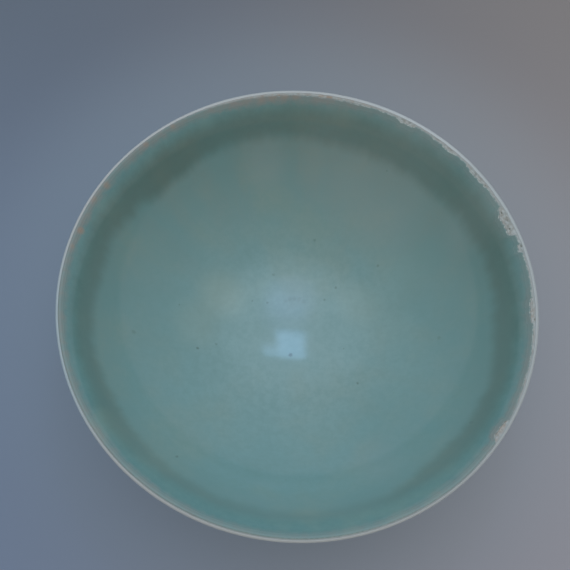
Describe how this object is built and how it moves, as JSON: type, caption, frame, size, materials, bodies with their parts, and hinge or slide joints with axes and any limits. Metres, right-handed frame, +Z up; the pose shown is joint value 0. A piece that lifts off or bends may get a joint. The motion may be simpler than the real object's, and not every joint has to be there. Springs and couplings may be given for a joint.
{
  "type": "celadon bowl",
  "caption": "Wide, shallow celadon bowl with an out-turned lip, a chipped inner edge and a turned foot ring.",
  "frame": {"origin": "under the middle of the bowl, on the surface that it stands on", "axes": "+Z up along the axis that the bowl was turned on; +X to the right and +Y away from the viewer of the picture"},
  "size_m": [0.17, 0.17, 0.056],
  "materials": {
    "bare_clay": "matt, unglazed, burnt brownish where it meets the glaze",
    "celadon_glaze": "glossy grey-green glaze",
    "thin_celadon_glaze": "glossy grey-green glaze, thin and paler"
  },
  "bodies": {
    "root": {"clay_body": "bare_clay", "inner_glaze": "celadon_glaze", "outer_glaze": "celadon_glaze", "base_glaze": "thin_celadon_glaze"}
  },
  "joints": []
}
